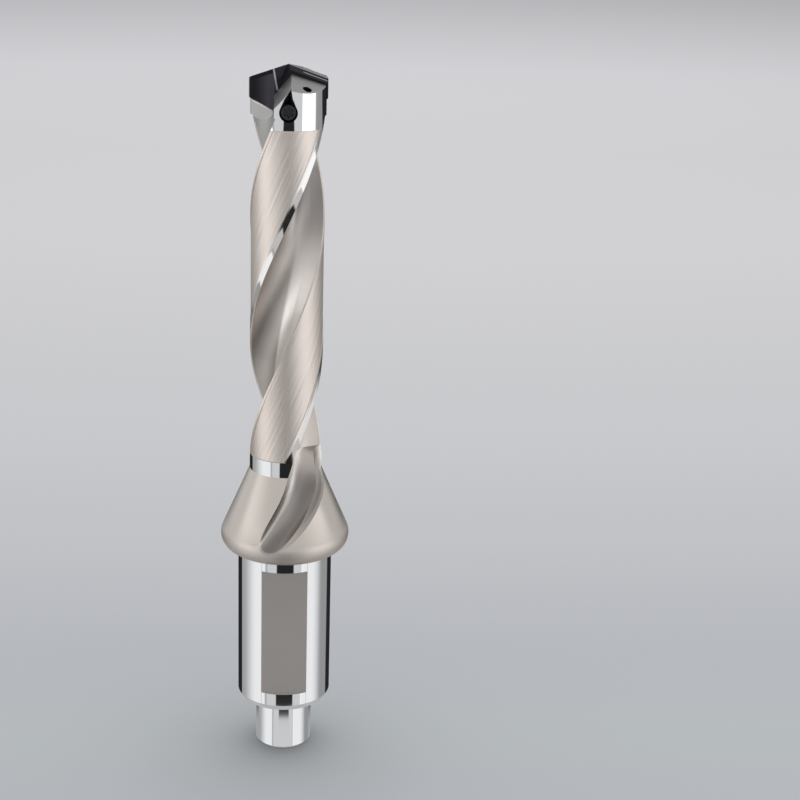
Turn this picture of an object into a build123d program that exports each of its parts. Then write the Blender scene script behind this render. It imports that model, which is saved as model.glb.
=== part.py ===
from build123d import *
import math
import os

# An exchangeable-tip drill, 25 mm in diameter, for holes about five diameters deep.
# Millimetres. The drill stands on its rear end: the origin is the centre of that end and
# +Z runs along the axis to the point. The shank flat and the clamp screw face -Y.
# The insert lies in the XZ plane: its left edge cuts on the -Y face, its right edge on +Y.

# Lengths along the axis, from the rear end up
spigot_length = 18.0
shank_length = 56.0
reach = 164.9                 # back of the flange to the point
flange_height = 29.2          # back of the flange to the foot of the cone
ring_height = 5.3             # plain ring between the cone and the fluted body

# Radii
cutting_radius = 12.6
body_radius = 12.15
shank_radius = 16.0
spigot_radius = 9.65

# Turned details
cone_angle = 23.3             # half angle of the cone above the flange
flange_rounding = 5.4
flange_ledge = 0.4            # least flat left between the rounding and the shank
shank_chamfer_length = 2.2
shank_chamfer_depth = 1.4
spigot_chamfer = 0.8

# Flat on the shank for the holder's side screw
flat_depth = 2.0
flat_from_flange = 3.8
flat_length = 45.7

# Helical flutes and lands
lead = 168.4                  # height of one full turn
lead_angle_at_tip = 17.05     # leading edge of the front land, from +X, carried up to the point
flute_radius = 9.0
core_radius = 4.6
heel_angle = 87.0             # from a leading edge ahead to the heel of the other land
flute_top = 15.8              # end of the flutes, below the point
margin_angle = 12.0           # full-diameter strip behind each leading edge
land_relief = 0.2
relief_top = 19.5             # end of the land relief, below the point
relief_past_heel = 4.0        # degrees from the heel to the relief's end: a thin strip stays

# Run-out of a flute: below its last full section the groove narrows and climbs out through the
# cone. Each station is its height above the cone's foot, the angle of the groove's middle ahead
# of the flute's middle at the foot, its depth under the plain body or cone, half its width
# and half the depth of its oval from front to back.
exit_rise = 7.0               # last full section of a flute, above the cone's foot
exit_stations = (
    (-1.7, -4.2, 6.0, 7.15, 6.3),
    (-4.7, -11.7, 5.7, 7.0, 5.7),
    (-11.1, -29.9, 5.0, 6.2, 5.4),
    (-15.6, -39.9, 4.5, 5.9, 5.3),
    (-19.6, -47.3, 3.2, 5.5, 5.1),
    (-22.9, -51.5, 1.4, 5.3, 5.1),
    (-26.0, -52.8, -0.9, 5.1, 5.0),
)

# A second, shallow round pass that runs out beside the groove on the heel side. Each station is
# its height above the cone's foot, the angle of its middle as above and its depth.
heel_pass_radius = 7.0
heel_pass_stations = (
    (7.0, 39.7, 2.65),
    (0.0, 29.7, 1.45),
    (-7.5, 4.2, 1.28),
    (-13.4, -15.8, 0.82),
    (-19.4, -33.8, 0.4),
    (-24.0, -46.3, -0.1),
)

# Cutting insert, with heights measured down from the point
insert_thickness = 5.2
point_slope = 0.347           # fall of a cutting edge for each mm outwards
primary_relief = 8.0          # degrees, the narrow land along a cutting edge
primary_width = 2.6
secondary_relief = 28.0
corner_chamfer = 0.25
side_bottom = 10.36           # lower end of the insert's sides
seat_angle = 27.6             # slope of the V seat
tang_radius = 5.0             # rounded foot of the insert round the screw
hollow_radius = 14.0          # hollow along each rake face
hollow_depth = 0.35
hollow_centre = 9.2
notch_edge = (4.85, 1.32)     # web notch: where it leaves the cutting edge, out and down
notch_foot = (3.6, 7.99)      # its lowest point on the rake face, out and down
notch_reach = (0.6, 1.6)      # where it ends past the axis on the rake plane, over and down
web_half = 0.15               # half of the web left at the centre

# Insert pocket and jaws, with heights measured down from the point
slot_clearance = 0.02
tang_clearance = 0.1
pocket_wall = 4.6             # side wall of a jaw beside the rake face, from the axis
pocket_set_back = 0.3         # steel face behind the rake face
seat_chamfer = 0.3            # bright broken edge of the seat along that face
pocket_overlap = 1.0          # reach of the pocket's cutter down into the flute
pocket_foot_radius = 4.0      # rounded foot of the steel face under the insert
pocket_foot_out = 8.2
pocket_foot_down = 13.5
jaw_drop = 2.64               # jaw flank at the axis, on the rake plane
jaw_slope_out = 0.30
jaw_slope_back = 0.42
gash_drop = 4.09              # gash through a jaw, at the axis, on the rake plane
gash_slope_across = 1.2
gash_slope_back = 0.36

# Clamp screw
screw_drop = 13.8             # screw axis below the point
thread_radius = 1.95
screw_head_radius = 2.75
screw_head_height = 3.0
screw_head_depth = 1.4        # top of the head below the body's surface
screw_length = 19.5           # top of the head to the end
head_clearance = 0.2
hole_clearance = 0.25
thread_clearance = 0.05
screw_chamfer = 0.4
socket_radius = 1.35
socket_lobe_radius = 0.42
socket_lobes = 6
socket_depth = 1.8

# Coolant supply
coolant_bore_radius = 4.0
coolant_bore_from_flange = 12.0   # end of the central bore above the flange's back
coolant_radius = 1.4
coolant_sides = 12            # a channel's section is a fine polygon, as it is never seen
coolant_circle = 8.8          # distance of the channels from the axis
coolant_behind_edge = 32.0    # a channel lies this many degrees behind its leading edge
coolant_turn_up = 21.5        # where a channel leaves the helix, below the point
coolant_outlet_radius = 1.45
coolant_outlet_across = 6.2
coolant_outlet_back = 8.4
drill_point = 59.0            # half angle at the end of the central bore

# Heights that follow
shank_end = spigot_length
flange_back = shank_end + shank_length
tip = flange_back + reach
cone_foot = flange_back + flange_height
flute_start = cone_foot + ring_height
screw_height = tip - screw_drop
half_thickness = insert_thickness / 2
turn_rate = 360.0 / lead
far = 60.0                    # reach of a cutter outside the blank


def lead_angle(height):
    """Angle from +X of the front land's leading edge at a height."""
    return lead_angle_at_tip - turn_rate * (tip - height)


def polar(radius, angle, height=0.0):
    """A point at a radius and an angle from +X about the axis."""
    a = math.radians(angle)
    return Vector(radius * math.cos(a), radius * math.sin(a), height)


def half_turn(shape):
    """The same shape on the other side of the drill."""
    return shape.rotate(Axis.Z, 180)


def twisted(section, low, high):
    """A flat section, its leading edge at +X, carried along the helix from low to high."""
    face = (Pos(0, 0, low) * Rot(0, 0, lead_angle(low)) * section).face()
    rise = high - low
    return Solid.extrude_linear_with_rotation(
        face, (0, 0, low), (0, 0, rise), rise * turn_rate
    )


def beyond_plane(point, normal):
    """Everything on the normal's side of a plane."""
    side = Plane(origin=point, z_dir=normal)
    return side * Box(2 * far, 2 * far, far, align=(Align.CENTER, Align.CENTER, Align.MIN))


def drilled(start, end, radius, past=0.0):
    """A straight hole from start to end, carried on past the end."""
    run = end - start
    hole = Plane(origin=start, z_dir=run)
    return hole * Cylinder(
        radius, run.length + past, align=(Align.CENTER, Align.CENTER, Align.MIN)
    )


def across(radius, start, end, height=None):
    """A cylinder along Y from start to end, on the clamp screw's axis."""
    at = screw_height if height is None else height
    return Pos(0, (start + end) / 2, at) * Rot(90, 0, 0) * Cylinder(radius, abs(end - start))


def turned_blank():
    """Spigot, shank, flange, cone and body, turned from one bar."""
    corner_radius = body_radius + flange_height * math.tan(math.radians(cone_angle))
    outline = Polyline(
        (0, 0),
        (spigot_radius - spigot_chamfer, 0),
        (spigot_radius, spigot_chamfer),
        (spigot_radius, shank_end),
        (shank_radius - shank_chamfer_depth, shank_end),
        (shank_radius, shank_end + shank_chamfer_length),
        (shank_radius, flange_back),
        (corner_radius, flange_back),
        (body_radius, cone_foot),
        (body_radius, tip),
        (0, tip),
        close=True,
    )
    section = Sketch() + make_face(outline)
    corner = section.vertices().sort_by(Axis.X)[-1]
    half_corner = math.radians((90 - cone_angle) / 2)
    ledge = corner_radius - shank_radius - flange_ledge
    section = fillet(corner, min(flange_rounding, ledge * math.tan(half_corner)))
    front = Plane(origin=(0, 0, 0), x_dir=(0, -1, 0), z_dir=(-1, 0, 0))
    return revolve(front * section, Axis.Z)


def flute_middle():
    """Angle from a leading edge ahead to the middle of the flute's round."""
    out = core_radius + flute_radius
    reach_out = (body_radius**2 + out**2 - flute_radius**2) / (2 * body_radius * out)
    return math.degrees(math.acos(reach_out))


def flute_section():
    """Round-nosed flute with a straight run up to the heel."""
    centre = polar(core_radius + flute_radius, flute_middle())
    heel = polar(body_radius, heel_angle)
    to_heel = heel - centre
    swing = math.degrees(math.acos(flute_radius / to_heel.length))
    touch = centre + to_heel.normalized().rotate(Axis.Z, swing) * flute_radius
    past_heel = touch + (heel - touch) * 2
    flank = Polyline(touch, past_heel, centre * 2, centre, close=True)
    return Pos(centre) * Circle(flute_radius) + make_face(flank)


def flute_cutter():
    """One flute up to the insert seat, less the round foot that stays under the seat."""
    cutter = twisted(flute_section(), cone_foot + exit_rise, tip - flute_top)
    foot_back = half_thickness - pocket_set_back
    foot = Pos(pocket_foot_out, foot_back - far / 2, tip - pocket_foot_down)
    foot = foot * Rot(90, 0, 0) * Cylinder(pocket_foot_radius, far)
    return cutter - foot


def relief_cutter():
    """The shallow step behind the margin of one land."""
    low, high = flute_start, tip - relief_top
    end = heel_angle + relief_past_heel - 180
    spread = polar(far, -margin_angle) + polar(far, end)
    sector = Polyline((0, 0), polar(far, -margin_angle), spread, polar(far, end), close=True)
    rim = Pos(0, 0, (low + high) / 2)
    ring = rim * Cylinder(far, high - low) - rim * Cylinder(body_radius - land_relief, high - low)
    return ring & twisted(Sketch() + make_face(sector), low, high)


def groove_section(rise, ahead, depth, half_width, floor_radius):
    """A level oval section of a run-out groove."""
    surface = body_radius + max(-rise, 0) * math.tan(math.radians(cone_angle))
    angle = lead_angle(cone_foot) + flute_middle() + ahead
    centre = polar(surface - depth + floor_radius, angle, cone_foot + rise)
    level = Plane(origin=centre, x_dir=polar(1, angle + 90), z_dir=(0, 0, -1))
    return level * Ellipse(half_width, floor_radius)


def exit_cutter():
    """The groove in which a flute runs out, from its last full section."""
    full_depth = body_radius - core_radius
    full = (exit_rise, exit_rise * turn_rate, full_depth, flute_radius, flute_radius)
    return loft([groove_section(*station) for station in (full,) + exit_stations])


def heel_pass_cutter():
    """The shallow pass on the heel side of a flute's run-out."""
    size = (heel_pass_radius, heel_pass_radius)
    return loft([groove_section(*station, *size) for station in heel_pass_stations])


def seat_outline(side, top, foot_radius):
    """Front view of the insert's body: V seat and round foot, up to a level top."""
    fall = math.tan(math.radians(seat_angle))
    seat_side = tip - side_bottom - (side - cutting_radius) * -fall
    seat_bottom = tip - side_bottom - cutting_radius * fall
    shield = Polyline(
        (-side, top), (-side, seat_side), (0, seat_bottom), (side, seat_side), (side, top), close=True
    )
    return Sketch() + make_face(shield) + Pos(0, screw_height) * Circle(foot_radius)


def slab(outline, thickness):
    """A front-view outline thickened evenly about the XZ plane."""
    return extrude(Plane.XZ * outline, thickness / 2, both=True)


def jaw_top_cutter():
    """What lies above the front jaw: its flank and the gash beside the point."""
    in_front = Pos(0, -half_thickness, tip) * Box(
        2 * far, far, far, align=(Align.CENTER, Align.MAX, Align.CENTER)
    )
    flank = beyond_plane(
        Vector(0, -half_thickness, tip - jaw_drop), Vector(jaw_slope_out, -jaw_slope_back, 1)
    )
    gash = beyond_plane(
        Vector(0, -half_thickness, tip - gash_drop), Vector(-gash_slope_across, -gash_slope_back, 1)
    )
    return (flank + gash) & in_front


def pocket_cutter():
    """The open space in front of the left rake face, down into the flute."""
    foot = tip - flute_top - pocket_overlap
    corner = Pos(-pocket_wall, -half_thickness + pocket_set_back, foot)
    return corner * Box(far, far, far, align=(Align.MAX, Align.MAX, Align.MIN))


def seat_chamfer_cutter():
    """A square bar on edge along the seat's left front edge, which it breaks."""
    fall = math.radians(seat_angle)
    start = Vector(0, pocket_set_back - half_thickness, tip - side_bottom)
    start += Vector(0, 0, -cutting_radius * math.tan(fall))
    bar = Plane(origin=start, x_dir=(-math.cos(fall), 0, math.sin(fall)), z_dir=(0, -1, 0))
    side = seat_chamfer * math.sqrt(2)
    return bar * Rot(45, 0, 0) * Box(far, side, side, align=(Align.MIN, Align.CENTER, Align.CENTER))


def coolant_cutters():
    """Central bore, helical channels through the lands and outlets beside the insert."""
    bore_end = flange_back + coolant_bore_from_flange
    point_height = coolant_bore_radius / math.tan(math.radians(drill_point))
    bore = Pos(0, 0, bore_end / 2) * Cylinder(coolant_bore_radius, bore_end)
    bore += Pos(0, 0, bore_end + point_height / 2) * Cone(coolant_bore_radius, 0, point_height)
    helix_end = tip - coolant_turn_up
    spot = Pos(polar(coolant_circle, -coolant_behind_edge))
    section = spot * RegularPolygon(coolant_radius, coolant_sides)
    channel = twisted(section, cone_foot, helix_end)
    low = polar(coolant_circle, lead_angle(cone_foot) - coolant_behind_edge, cone_foot)
    high = polar(coolant_circle, lead_angle(helix_end) - coolant_behind_edge, helix_end)
    outlet = Vector(coolant_outlet_across, -coolant_outlet_back, tip - jaw_drop)
    side = drilled(Vector(0, 0, bore_end - coolant_radius), low, coolant_radius, coolant_radius)
    mouth = drilled(high - Vector(0, 0, coolant_radius), outlet, coolant_outlet_radius, far / 4)
    one = [channel, side, mouth]
    return [bore] + one + [half_turn(cutter) for cutter in one]


def screw_hole_cutters():
    """Counterbore and clearance hole in the front jaw, tapped hole in the back jaw."""
    seat = -body_radius + screw_head_depth + screw_head_height
    return [
        across(screw_head_radius + head_clearance, -far / 2, seat),
        across(thread_radius + hole_clearance, seat, 0),
        across(thread_radius + thread_clearance, 0, far / 2),
    ]


def shank_flat_cutter():
    """The side-lock flat, square at both ends."""
    top = flange_back - flat_from_flange
    return Pos(0, -shank_radius + flat_depth, top) * Box(
        far, far, flat_length, align=(Align.CENTER, Align.MAX, Align.MAX)
    )


def drill_body():
    """The steel body in one piece, from the spigot to the jaws."""
    body = turned_blank() - shank_flat_cutter()
    for cutter in (flute_cutter(), relief_cutter(), exit_cutter(), heel_pass_cutter()):
        body = body - cutter - half_turn(cutter)
    for cutter in (pocket_cutter(), jaw_top_cutter(), seat_chamfer_cutter()):
        body = body - cutter - half_turn(cutter)
    slot = seat_outline(2 * cutting_radius, tip + far, tang_radius + tang_clearance)
    body = body - slab(slot, insert_thickness + 2 * slot_clearance)
    for cutter in screw_hole_cutters() + coolant_cutters():
        body = body - cutter
    return body


def flank_cutter():
    """What lies above the right half's clearance faces; its cutting edge is on the +Y face."""
    primary_drop = math.tan(math.radians(primary_relief))
    secondary_drop = math.tan(math.radians(secondary_relief))
    apex = tip + half_thickness * primary_drop
    primary = beyond_plane(
        Vector(0, half_thickness, apex), Vector(point_slope, -primary_drop, 1)
    )
    heel = Vector(0, half_thickness - primary_width, apex - primary_width * primary_drop)
    secondary = beyond_plane(heel, Vector(point_slope, -secondary_drop, 1))
    return primary + secondary


def notch_cutter():
    """The web notch in front of the left half, a wedge whose valley runs up to the centre."""
    edge = Vector(-notch_edge[0], -half_thickness, tip - notch_edge[1])
    foot = Vector(-notch_foot[0], -half_thickness, tip - notch_foot[1])
    over = Vector(notch_reach[0], -half_thickness, tip - notch_reach[1])
    centre = Vector(0, -web_half, tip)
    wall = beyond_plane(foot, (centre - foot).cross(edge - foot))
    floor = beyond_plane(foot, (over - foot).cross(centre - foot))
    return wall & floor


def cutting_insert():
    """The exchangeable carbide tip, alike after half a turn."""
    outline = seat_outline(cutting_radius, tip + far / 4, tang_radius)
    insert = slab(outline, insert_thickness)
    insert = insert & Pos(0, 0, tip) * Cylinder(cutting_radius, far)
    hollow = Pos(-hollow_centre, -half_thickness - hollow_radius + hollow_depth, tip)
    hollow = hollow * Cylinder(hollow_radius, far)
    corner_out = math.sqrt(cutting_radius**2 - half_thickness**2)
    apex = tip + half_thickness * math.tan(math.radians(primary_relief))
    corner_start = Vector(corner_out - corner_chamfer, 0, apex - point_slope * corner_out)
    corner = beyond_plane(corner_start, Vector(1, 0, 1))
    for cutter in (flank_cutter(), notch_cutter(), hollow, corner):
        insert = insert - cutter - half_turn(cutter)
    return insert - across(thread_radius + hole_clearance, -far / 2, far / 2)


def clamp_screw():
    """The screw that draws the jaws together on the insert."""
    top = -body_radius + screw_head_depth
    seat = top + screw_head_height
    end = top + screw_length
    screw = across(screw_head_radius, top, seat) + across(thread_radius, seat, end)
    rims = screw.edges().filter_by(GeomType.CIRCLE).sort_by(Axis.Y)
    screw = chamfer([rims[0], rims[-1]], screw_chamfer)
    recess = across(socket_radius, top, top + socket_depth)
    for lobe in range(socket_lobes):
        angle = math.radians(360 / socket_lobes * lobe)
        out = Pos(socket_radius * math.sin(angle), 0, socket_radius * math.cos(angle))
        recess += out * across(socket_lobe_radius, top, top + socket_depth)
    return screw - recess


parts = {
    "drill_body": drill_body(),
    "cutting_insert": cutting_insert(),
    "clamp_screw": clamp_screw(),
}
os.makedirs("parts", exist_ok=True)
for name, part in parts.items():
    export_step(part, f"parts/{name}.step")
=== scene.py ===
import math

import bpy
from mathutils import Matrix, Vector


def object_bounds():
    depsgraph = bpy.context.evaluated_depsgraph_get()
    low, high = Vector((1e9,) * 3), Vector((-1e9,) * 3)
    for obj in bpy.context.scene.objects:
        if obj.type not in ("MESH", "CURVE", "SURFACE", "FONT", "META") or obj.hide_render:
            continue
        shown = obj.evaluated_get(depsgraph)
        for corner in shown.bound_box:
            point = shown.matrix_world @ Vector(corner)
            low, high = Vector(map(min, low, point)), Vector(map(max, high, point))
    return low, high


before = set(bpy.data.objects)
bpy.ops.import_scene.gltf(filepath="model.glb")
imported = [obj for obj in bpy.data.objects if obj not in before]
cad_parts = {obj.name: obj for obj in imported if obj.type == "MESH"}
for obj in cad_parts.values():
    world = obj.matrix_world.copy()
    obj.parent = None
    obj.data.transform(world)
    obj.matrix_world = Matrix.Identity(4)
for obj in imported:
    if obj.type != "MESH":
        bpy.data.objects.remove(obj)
cad_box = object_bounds()

# The drill stands on its rear end on a pale studio floor, seen from the front and above. The lens
# is tilted 18 degrees down and turned a little aside, and the drill nearly fills the height of
# the picture.
camera_place = Vector((0.0, -0.5634, 0.3133))
camera_lens = 79.2
camera_near = 0.01
camera_down, camera_aside, camera_roll = (math.radians(x) for x in (18.25, 3.90, 1.71))


def camera_axes():
    """Right, up and forward of the lens: forward is turned aside and down, then rolled."""
    level = math.cos(camera_down)
    forward = Vector(
        (math.sin(camera_aside) * level, math.cos(camera_aside) * level, -math.sin(camera_down))
    )
    right = Vector((math.cos(camera_aside), -math.sin(camera_aside), 0.0))
    up = right.cross(forward)
    turn_cos, turn_sin = math.cos(camera_roll), math.sin(camera_roll)
    return turn_cos * right + turn_sin * up, turn_cos * up - turn_sin * right, forward


camera_data = bpy.data.cameras.new("studio_camera")
camera_data.lens = camera_lens
camera_data.clip_start = camera_near
camera = bpy.data.objects.new("studio_camera", camera_data)
bpy.context.scene.collection.objects.link(camera)
lens_right, lens_up, lens_forward = camera_axes()
placed = Matrix((lens_right, lens_up, -lens_forward)).transposed().to_4x4()
placed.translation = camera_place
camera.matrix_world = placed
bpy.context.scene.camera = camera
bpy.context.scene.view_settings.view_transform = "Standard"


# Soft studio light seen in the bright steel: tall soft boxes left and right of the drill, dark
# flags behind it, which draw its edges, and the dark camera side, which narrows upwards.
class Shade:
    """A shader socket: operators on it add Math nodes, and node() adds any other node."""

    def __init__(self, tree, socket=None):
        self.tree, self.socket = tree, socket

    def node(self, kind, settings=None, sockets=None, output=0):
        """Adds a node of a type with its settings, then its sockets' values or links."""
        made = self.tree.nodes.new("ShaderNode" + kind)
        for name, value in (settings or {}).items():
            if name == "stops":
                ramp = made.color_ramp
                for place, colour in value[len(ramp.elements):]:
                    ramp.elements.new(place)
                for element, (place, colour) in zip(ramp.elements, value):
                    element.position, element.color = place, (*colour, 1.0)
            else:
                setattr(made, name, value)
        for name, value in (sockets or {}).items():
            if isinstance(value, Shade):
                self.tree.links.new(value.socket, made.inputs[name])
            else:
                made.inputs[name].default_value = value
        return Shade(self.tree, made.outputs[output] if made.outputs else None)

    def maths(self, operation, first, second=0.0):
        """Adds a Math node on values or links."""
        return self.node("Math", {"operation": operation}, {0: first, 1: second})

    def __add__(self, other):
        return self.maths("ADD", self, other)

    def __sub__(self, other):
        return self.maths("SUBTRACT", self, other)

    def __rsub__(self, other):
        return self.maths("SUBTRACT", other, self)

    def __mul__(self, other):
        return self.maths("MULTIPLY", self, other)

    def __truediv__(self, other):
        return self.maths("DIVIDE", self, other)

    __radd__, __rmul__ = __add__, __mul__

    def size(self):
        """The value without its sign."""
        return self.maths("ABSOLUTE", self)

    def root(self):
        """The square root."""
        return self.maths("SQRT", self)

    def most(self, other):
        """The larger of two values."""
        return self.maths("MAXIMUM", self, other)

    def xyz(self):
        """The three parts of a vector."""
        split = self.node("SeparateXYZ", sockets={0: self})
        return [Shade(self.tree, part) for part in split.socket.node.outputs]

    def rise(self, low, high):
        """Nothing below low, one above high, smooth between."""
        sockets = {"Value": self, "From Min": low, "From Max": high}
        return self.node("MapRange", {"interpolation_type": "SMOOTHSTEP"}, sockets)

    def fall(self, low, high):
        """One below low, nothing above high, smooth between."""
        return 1 - self.rise(low, high)

    def past(self, edge, soft=2e-5):
        """Nothing before an edge and one past it, with a half width for the change."""
        return self.rise(edge - soft, edge + soft)

    def band(self, low, high, soft):
        """One between low and high, with soft sides."""
        return self.past(low, soft) * (1 - self.past(high, soft))


# Directions are in degrees: side_angle from the camera's side to the right, level_angle up from
# the horizon. Upright steel mirrors the level at which it is seen from the camera: the spigot -30
# to -28, the shank -28 to -24, the ring -21, the margins -20 to -10 and the head -10 to -8.
world = bpy.data.worlds.new("studio")
bpy.context.scene.world = world
world.use_nodes = True
world.node_tree.nodes.clear()
studio = Shade(world.node_tree)
east, north, height = studio.node("TexCoord", output="Generated").xyz()
side_angle = studio.maths("ARCTAN2", east, north * -1) * math.degrees(1)
level_angle = studio.maths("ARCSINE", height) * math.degrees(1)
turned = side_angle.size()

# Each soft box runs from a near edge beside the camera to a far edge, whose start and end are
# given. Low down the far edges are blurred. The right box reaches further for the margins.
right_near, left_near = (41, 44), (-51, -46)
low_down = level_angle.fall(-20.5, -18.5)
by_margins = level_angle.band(-19, -11.8, 0.5)
right_far = (
    low_down * -16 + by_margins * 16 + 88,
    low_down * 18 + by_margins * 36 + 92,
)
left_far = (low_down * -26 - 96, low_down * 20 - 92)
right_box = side_angle.rise(*right_near) * side_angle.fall(*right_far)
left_box = side_angle.rise(*left_far) * side_angle.fall(*left_near)
soft_boxes = right_box + left_box

# The rest of the sky, and the light that comes up from the floor.
low_sky = level_angle.fall(0, 12)
high_sky = level_angle.rise(28, 60)
ground = level_angle.fall(-52, -34)
front_fill = turned.fall(41, 47) * low_sky
front_sky = turned.fall(95, 150) * (1 - low_sky)
back_sky = turned.rise(95, 115) * level_angle.rise(-8, -3) * (1 - front_sky)
side_shade = side_angle.band(97, 132, 4)

# The dark flags behind, weaker from the margins up, with one more on the right for the head.
flags = turned.band(132, 177, 3) * level_angle.band(-28.2, -6, 0.5)
flags = flags * (1 - level_angle.rise(-19, -15) * 0.6)
flags = flags.most(side_angle.band(122, 177, 3) * level_angle.band(-12.2, -4.5, 0.6))

# The dark strip on the camera's side: half its width is 17 degrees and up to 4 more at the shank.
# It ends halfway up the head and has a gap for the spigot.
strip_middle, strip_reach, strip_more = 1.5, 17, 4
strip_gap = level_angle.band(-38, -28.5, 0.03)
strip_half = level_angle.fall(-8.72, -8.26) * strip_reach
strip_half = strip_half + level_angle.fall(-24, -10) * strip_more
beside_strip = (side_angle - strip_middle).size() - strip_half
dark_strip = beside_strip.fall(-1.5, 1.5) * strip_half.rise(0.5, 2) * (1 - strip_gap) * low_sky

# How bright each part is. The boxes gain box_more from the ring up to the head.
grey_level, fill_level, box_level, box_more = 0.40, 0.66, 0.93, 0.4
front_level, front_by_boxes, back_level, shade_level = 0.36, 0.16, 0.42, 0.08
high_level, ground_level, dark_level = 0.40, 0.5, 0.02
box_light = level_angle.rise(-20, -9) * box_more + (box_level - grey_level)
light = soft_boxes * box_light * level_angle.fall(8, 26) + grey_level
light = light + front_fill * (fill_level - grey_level) - side_shade * shade_level
light = light + front_sky * (front_level - soft_boxes * (front_level - front_by_boxes))
light = light + back_sky * back_level
covers = (
    (high_sky, high_level),
    (ground, ground_level),
    (flags, dark_level),
    (dark_strip, dark_level),
)
for part, level in covers:
    light = light * (1 - part) + part * level
cool_white = (0.98, 0.988, 1.0, 1.0)
shine = studio.node("Background", sockets={"Color": cool_white, "Strength": light})
studio.node("OutputWorld", sockets={"Surface": shine})

# A broad soft lamp high above the floor, which the steel doesn't mirror. It brings out the soft
# shadow at the drill's foot.
lamp_data = bpy.data.lights.new("overhead", "AREA")
lamp_data.shape = "DISK"
lamp_data.size = 3.0
lamp_data.energy = 60.0
lamp = bpy.data.objects.new("overhead", lamp_data)
lamp.location = (0.1, 0.5, 2.2)
lamp.visible_glossy = False
bpy.context.scene.collection.objects.link(lamp)

# The floor: one broad pale sheet of studio paper, a touch cool. Painted light makes it brighter
# with its distance in front of or behind the drill, and the steel doesn't mirror it.
floor_half = 6.0
floor_mesh = bpy.data.meshes.new("floor")
corners = [(x * floor_half, y * floor_half, 0.0) for x, y in ((-1, -1), (1, -1), (1, 1), (-1, 1))]
floor_mesh.from_pydata(corners, [], [(0, 1, 2, 3)])
floor = bpy.data.objects.new("floor", floor_mesh)
bpy.context.scene.collection.objects.link(floor)
floor.visible_glossy = False
ramp_start, ramp_end = -0.1, 2.4
painted_floor_light_stops = (
    (0.045, (0.343, 0.36, 0.372)),
    (0.068, (0.340, 0.350, 0.373)),
    (0.108, (0.379, 0.383, 0.400)),
    (0.161, (0.405, 0.409, 0.421)),
    (0.34, (0.453, 0.449, 0.456)),
    (0.512, (0.472, 0.467, 0.480)),
    (0.752, (0.542, 0.537, 0.556)),
)


def new_material(name):
    """An empty material, and the start of its nodes."""
    material = bpy.data.materials.new(name)
    material.use_nodes = True
    material.node_tree.nodes.clear()
    return material, Shade(material.node_tree)


def surfaced(shade, sockets):
    """Ends a material in one surface, with the values or links of its sockets."""
    surface = shade.node("BsdfPrincipled", sockets=sockets)
    shade.node("OutputMaterial", sockets={"Surface": surface})


paper, sheet = new_material("studio_paper")
# Painted light: the paper's colour brightens along the ramp with the distance from the drill.
away = sheet.node("TexCoord", output="Object").xyz()[1].size()
along_ramp = sheet.node("MapRange", sockets={"Value": away, 1: ramp_start, 2: ramp_end})
painted_floor_light = sheet.node("ValToRGB", {"stops": painted_floor_light_stops}, {0: along_ramp})
surfaced(sheet, {"Base Color": painted_floor_light, "Roughness": 1.0, "Specular IOR Level": 0.0})
floor_mesh.materials.append(paper)


def dressed(node, material):
    """Gives a CAD node's surface a material."""
    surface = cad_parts[node].data
    surface.materials.clear()
    surface.materials.append(material)


# The body: one bar of tool steel, turned, milled and ground. Its shank, spigot, neck ring,
# margins and head are bright, the lands and cone are satin, the flutes are a darker satin that
# the mill left, with painted light and shade in them, and the flat is matte.
tip_height = cad_box[1].z
flange_back = 0.074
cone_foot = flange_back + 0.0292
ring_top = cone_foot + 0.0053
head_foot = tip_height - 0.0196
body_radius = 0.01215
flat_face = -0.014
cone_angle = math.radians(23.3)
cone_slope = math.tan(cone_angle)
helix_lead = 0.1684
edge_at_tip = 17.05
steel, body = new_material("tool_steel")
place = body.node("TexCoord", output="Object")
across, back, up = place.xyz()
radius = (across * across + back * back).root()

# Degrees ahead of the nearest leading edge: lands lie from -93 to 0, flutes on both sides.
half_turn, halfway_flute = 180, -135
untwisted = body.maths("ARCTAN2", back, across) * math.degrees(1) - edge_at_tip
untwisted = untwisted + (tip_height - up) * (2 * half_turn / helix_lead)
turns = body.maths("FLOOR", (untwisted - halfway_flute) / half_turn)
ahead = untwisted - turns * half_turn

# What lies under the plain turned surface is milled. The surface is the body, the cone and the
# flange's rounding, an arc that touches the cone.
round_radius = 0.0054
round_up = flange_back + round_radius
round_out = body_radius + (cone_foot - round_up) * cone_slope - round_radius / math.cos(cone_angle)
round_end = round_up + round_radius * math.sin(cone_angle)
cone_radius = body_radius + (cone_foot - up).most(0.0) * cone_slope
rounding = (round_radius**2 - (up - round_up) * (up - round_up)).most(0.0).root() + round_out
on_rounding = 1 - up.past(round_end)
under = cone_radius * (1 - on_rounding) + rounding * on_rounding - radius
full_radius = under.fall(4e-5, 1e-4)
cut_deep = under.rise(3.5e-4, 8e-4)

mill_foot, mill_top, satin_foot = (0.0775, 0.0785), (0.209, 0.215), (0.204, 0.214)
above_cone = up.past(cone_foot)
above_ring = up.past(ring_top)
below_flange = 1 - up.past(flange_back)
head = up.past(head_foot, 2e-4)
margin = ahead.rise(-13.5, -7.0)
milled = cut_deep * up.rise(*mill_foot) * up.fall(*mill_top)
head_satin = head.most(cut_deep * up.rise(*satin_foot))
polished = above_cone * full_radius * margin.most(head.most(1 - above_ring))
on_margin = margin * polished * above_ring
flat = (1 - (back - flat_face).size().rise(1e-5, 4e-5)) * below_flange
bright = polished.most(below_flange) * (1 - flat)
satin = (1 - bright) * (1 - flat)
on_cone = (1 - above_cone) * (1 - milled)
by_rounding = up.fall(0.078, 0.088)
run_out = milled * up.fall(0.106, 0.114)
on_land = satin * (1 - milled) * (1 - head_satin) * up.rise(ring_top, ring_top + 1e-4)
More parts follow.
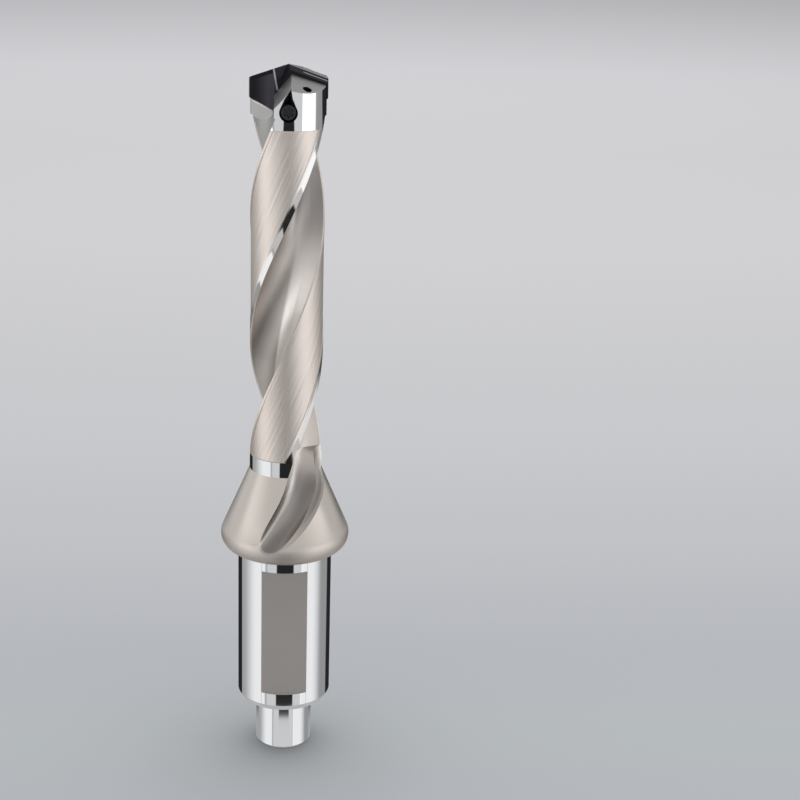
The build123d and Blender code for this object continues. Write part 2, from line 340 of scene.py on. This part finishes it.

# Painted light in the flutes, by height: painted highlights stretch along the heel side and the
# leading wall, and a band of painted shade darkens the upper flute. Each band has its low end, its
# high end and half the width of its soft sides.
heel_band = (0.135, 0.176, 0.014)
upper_wall, lower_wall = (0.186, 0.209, 0.006), (0.099, 0.116, 0.004)
upper_mill_light, lower_mill_light = (0.158, 0.18, 0.006), (0.12, 0.139, 0.006)
flute_shade_band = (0.19, 0.207, 0.008)
heel_side = ahead.rise(-134, -117) * ahead.fall(-92, -90) * up.band(*heel_band)
leading_wall = milled * ahead.rise(-1, 1) * ahead.fall(14, 40)
leading_wall = leading_wall * (up.band(*upper_wall) + up.band(*lower_wall))
painted_flute_shade = milled * (1 - leading_wall) * up.band(*flute_shade_band)

# The mill's dark tone is full in the run-out, half by the ring and 0.9 above it, less 0.35 in two
# bands. The tone is the mill's darker finish, and its changes with height are painted light.
mill_weight = 1 - up.rise(0.098, 0.110) * 0.5 + up.rise(0.112, 0.13) * 0.4
mill_weight = mill_weight - (up.band(*upper_mill_light) + up.band(*lower_mill_light)) * 0.35
dark_mill = milled * (1 - heel_side) * mill_weight

# The jaws are alike after half a turn, so their places are turned to the front jaw.
front = body.maths("SIGN", back) * -1
jaw_across, jaw_back = across * front, back * front

# Painted shade darkens the coolant outlets, which end at the jaws' flanks, and the screw's hole,
# where hardly any light arrives. A painted dark flame above the screw on the front jaw stands for
# shade and a dark reflection in its lead-in.
outlet = (0.0062, -0.0084, tip_height - 0.00264)
outlet_way = (0.0943, -0.0349, 0.9949)
outlet_rim, screw_rim = (1.53e-3, 1.56e-3), (2.97e-3, 2.99e-3)
rake_face = 0.0026
flank_out, flank_back = 0.30, -0.42
aside, behind, above = jaw_across - outlet[0], jaw_back - outlet[1], up - outlet[2]
along = aside * outlet_way[0] + behind * outlet_way[1] + above * outlet_way[2]
from_hole = (aside * aside + behind * behind + above * above - along * along).most(0.0).root()
over_flank = above + jaw_across * flank_out + (jaw_back + rake_face) * flank_back
in_outlet = from_hole.fall(*outlet_rim) * over_flank.fall(-2.2e-4, -1e-4) * head
screw_height = tip_height - 0.0138
over_axis = up - screw_height
from_screw = (across * across + over_axis * over_axis).root()
in_screw_hole = from_screw.fall(*screw_rim) * under.rise(5e-5, 2e-4)
flame_half, flame_taper, flame_lean, lean_from = 0.00323, 0.43, 0.27, 0.0044
flame = across - (over_axis - lean_from).most(0.0) * flame_lean
flame = flame_half - over_axis * flame_taper - flame.size()
painted_flame = flame.rise(-6e-5, 1.2e-4) * over_axis.rise(0.001, 0.0015) * back.fall(-0.002, -0.001)
painted_dark_shade = in_outlet.most(in_screw_hole.most(painted_flame))

# The seat's broken left front edge has a painted highlight, and the steel face below it is light.
seat_side, seat_end, seat_slope = 0.01036, -0.0126, math.tan(math.radians(27.6))
below_seat = tip_height - up - seat_side - (jaw_across - seat_end) * seat_slope
rim_end, face_end = (-0.0047, -0.0045), (-0.0052, -0.0048)
painted_seat_highlight = below_seat.band(2e-5, 6.5e-4, 3e-5) * jaw_across.fall(*rim_end)
pocket_face = head_satin * jaw_across.fall(*face_end) * (1 - full_radius)

# Grinding leaves soft streaks along the helix on the lands and a fine grain on all satin steel.
straight = untwisted * math.radians(1)
with_helix = radius * body.maths("COSINE", straight)
beside_helix = radius * body.maths("SINE", straight)


def along_helix(fine, long, detail):
    """Noise that follows the helix: how fine it is across it and along it, for each metre."""
    sockets = {"X": with_helix * fine, "Y": beside_helix * fine, "Z": up * long}
    drawn_out = body.node("CombineXYZ", sockets=sockets)
    return body.node("TexNoise", sockets={"Vector": drawn_out, "Scale": 1.0, "Detail": detail})


streaks = along_helix(800, 24, 3.0)
grain = along_helix(5000, 300, 2.0)
cloud = body.node("TexNoise", sockets={"Vector": place, "Scale": 70.0, "Detail": 2.0})
relief = streaks * on_land + grain * satin * 0.04
streak_bump = body.node("Bump", sockets={"Strength": 1.0, "Distance": 1.5e-4, "Height": relief})


def blend(factor, first, second):
    """Mixes two colours: the second one shows where the factor is one."""
    sockets = {"Factor": factor, "A": first, "B": second}
    return factor.node("Mix", {"data_type": "RGBA"}, sockets, output="Result")


# Each tint covers those before it, from the lands' two tones to the smallest marks.
land_tone = (0.84, 0.765, 0.70, 1.0)
land_deep = (0.70, 0.635, 0.60, 1.0)
cone_tone = (0.68, 0.622, 0.57, 1.0)
mill_tone = (0.40, 0.368, 0.345, 1.0)
painted_highlight_tone = (0.98, 0.95, 0.92, 1.0)
flute_shade_tone = (0.18, 0.17, 0.163, 1.0)
head_tone = (0.54, 0.535, 0.52, 1.0)
pocket_tone = (0.86, 0.85, 0.83, 1.0)
mirror_tone = (0.875, 0.877, 0.886, 1.0)
margin_tone = (0.76, 0.745, 0.725, 1.0)
flat_tone = (0.43, 0.395, 0.37, 1.0)
hole_shade_tone = (0.012, 0.012, 0.013, 1.0)
cloud_share, wall_share, heel_share, flute_shade_share = 0.3, 0.9, 0.6, 0.55
clouded = (streaks * on_land * 0.6 + cloud * 0.4).rise(0.25, 0.75)
tint = blend(clouded * cloud_share, land_tone, land_deep)
tint = blend(on_cone, tint, cone_tone)
tint = blend(dark_mill, tint, mill_tone)
# Painted highlights on the heel side and the leading wall, then painted shade high in the flutes.
tint = blend((leading_wall * wall_share).most(milled * heel_side * heel_share), tint, painted_highlight_tone)
tint = blend(painted_flute_shade * flute_shade_share, tint, flute_shade_tone)
tint = blend(head_satin, tint, head_tone)
tint = blend(pocket_face, tint, pocket_tone)
tint = blend(bright, tint, mirror_tone)
tint = blend(on_margin * (1 - head), tint, margin_tone)
tint = blend(flat, tint, flat_tone)
# Painted shade in the outlets, the screw's hole and the flame above it.
tint = blend(painted_dark_shade, tint, hole_shade_tone)
# A painted highlight along the seat's broken edge.
tint = blend(painted_seat_highlight, tint, painted_highlight_tone)

# Roughness for each finish. The run-out and the cone are smoother than other satin steel, and
# the flange's rounding isn't.
mirror_rough, margin_more, flat_rough, satin_rough = 0.03, 0.06, 0.55, 0.45
run_out_less, cone_less, rounding_more = 0.16, 0.13, 0.16
satin_rough = satin_rough - run_out * run_out_less
satin_rough = satin_rough + on_cone * (by_rounding * rounding_more - cone_less)
rough = bright * mirror_rough + on_margin * margin_more + flat * flat_rough + satin * satin_rough
flat_dull, rim_dull = 0.75, 0.9
metal = 1 - flat * flat_dull - painted_seat_highlight * rim_dull
surfaced(body, {"Base Color": tint, "Metallic": metal, "Roughness": rough, "Normal": streak_bump})
dressed("drill_body", steel)

# The insert: pressed and ground carbide with a dark, almost black hard coating, worn lighter
# along its ground edges and its web notches, which also get a painted highlight.
point_slope = 0.347
notch_edge, notch_foot = Vector((-0.00485, 0.00132)), Vector((-0.0036, 0.00799))
notch_length, notch_way = (notch_foot - notch_edge).length, (notch_foot - notch_edge).normalized()
carbide, tip = new_material("coated_carbide")
across, back, up = tip.node("TexCoord", output="Object").xyz()
front = tip.maths("SIGN", back) * -1
aside, down, out, depth = across * front, tip_height - up, across.size(), back.size()
from_edge, below_edge = aside - notch_edge[0], down - notch_edge[1]
off_line = (from_edge * notch_way[1] - below_edge * notch_way[0]).size()
along_line = from_edge * notch_way[0] + below_edge * notch_way[1]
on_notch = off_line.fall(1.8e-4, 3.4e-4) * along_line.band(0, notch_length, 1e-4)
on_notch = on_notch * depth.rise(rake_face - 8e-4, rake_face - 6e-4)

# On the land along each cutting edge: the ridge where its two reliefs meet, halfway through the
# thickness, and a second fine line outside the web notch, worn and with a painted highlight. The
# rake face has a painted sheen, lighter towards the land.
cutting_land = (down - out * point_slope).fall(9e-4, 1.1e-3)
flank_line = depth.band(1.25e-3, 1.5e-3, 6e-5) * out.rise(4.5e-3, 4.8e-3)
ridge = depth.fall(7e-5, 1.9e-4)
on_flank = (ridge + flank_line * 0.8) * cutting_land * out.fall(1.225e-2, 1.235e-2)
on_rake = depth.rise(rake_face - 4.5e-4, rake_face - 3.5e-4) * (1 - cutting_land)
painted_rake_sheen = on_rake * aside.rise(-0.0115, -0.0052) * aside.fall(-0.0046, -0.0042)
# Wear and painted highlights along the edges and the web notches.
edge = (on_notch * 0.7).most(on_flank)
coating_tone = (0.0135, 0.0125, 0.017, 1.0)
rake_sheen_tone = (0.075, 0.070, 0.085, 1.0)
edge_wear_and_glint_tone = (0.58, 0.56, 0.57, 1.0)
# A painted sheen on the rake face, then the worn and highlighted edges.
tip_tint = blend(painted_rake_sheen * 0.85, coating_tone, rake_sheen_tone)
tip_tint = blend(edge, tip_tint, edge_wear_and_glint_tone)
tip_sockets = {
    "Base Color": tip_tint,
    "Metallic": edge * 0.8,
    "Roughness": 0.24,
    "Specular IOR Level": 0.16,
}
surfaced(tip, tip_sockets)
dressed("cutting_insert", carbide)

# The clamp screw: a small turned screw of blackened steel. It goes through the front jaw and the
# insert into the back jaw.
screw_tone = (0.06, 0.062, 0.07, 1.0)
blackened, screw = new_material("screw_steel")
surfaced(screw, {"Base Color": screw_tone, "Metallic": 0.6, "Roughness": 0.3})
dressed("clamp_screw", blackened)
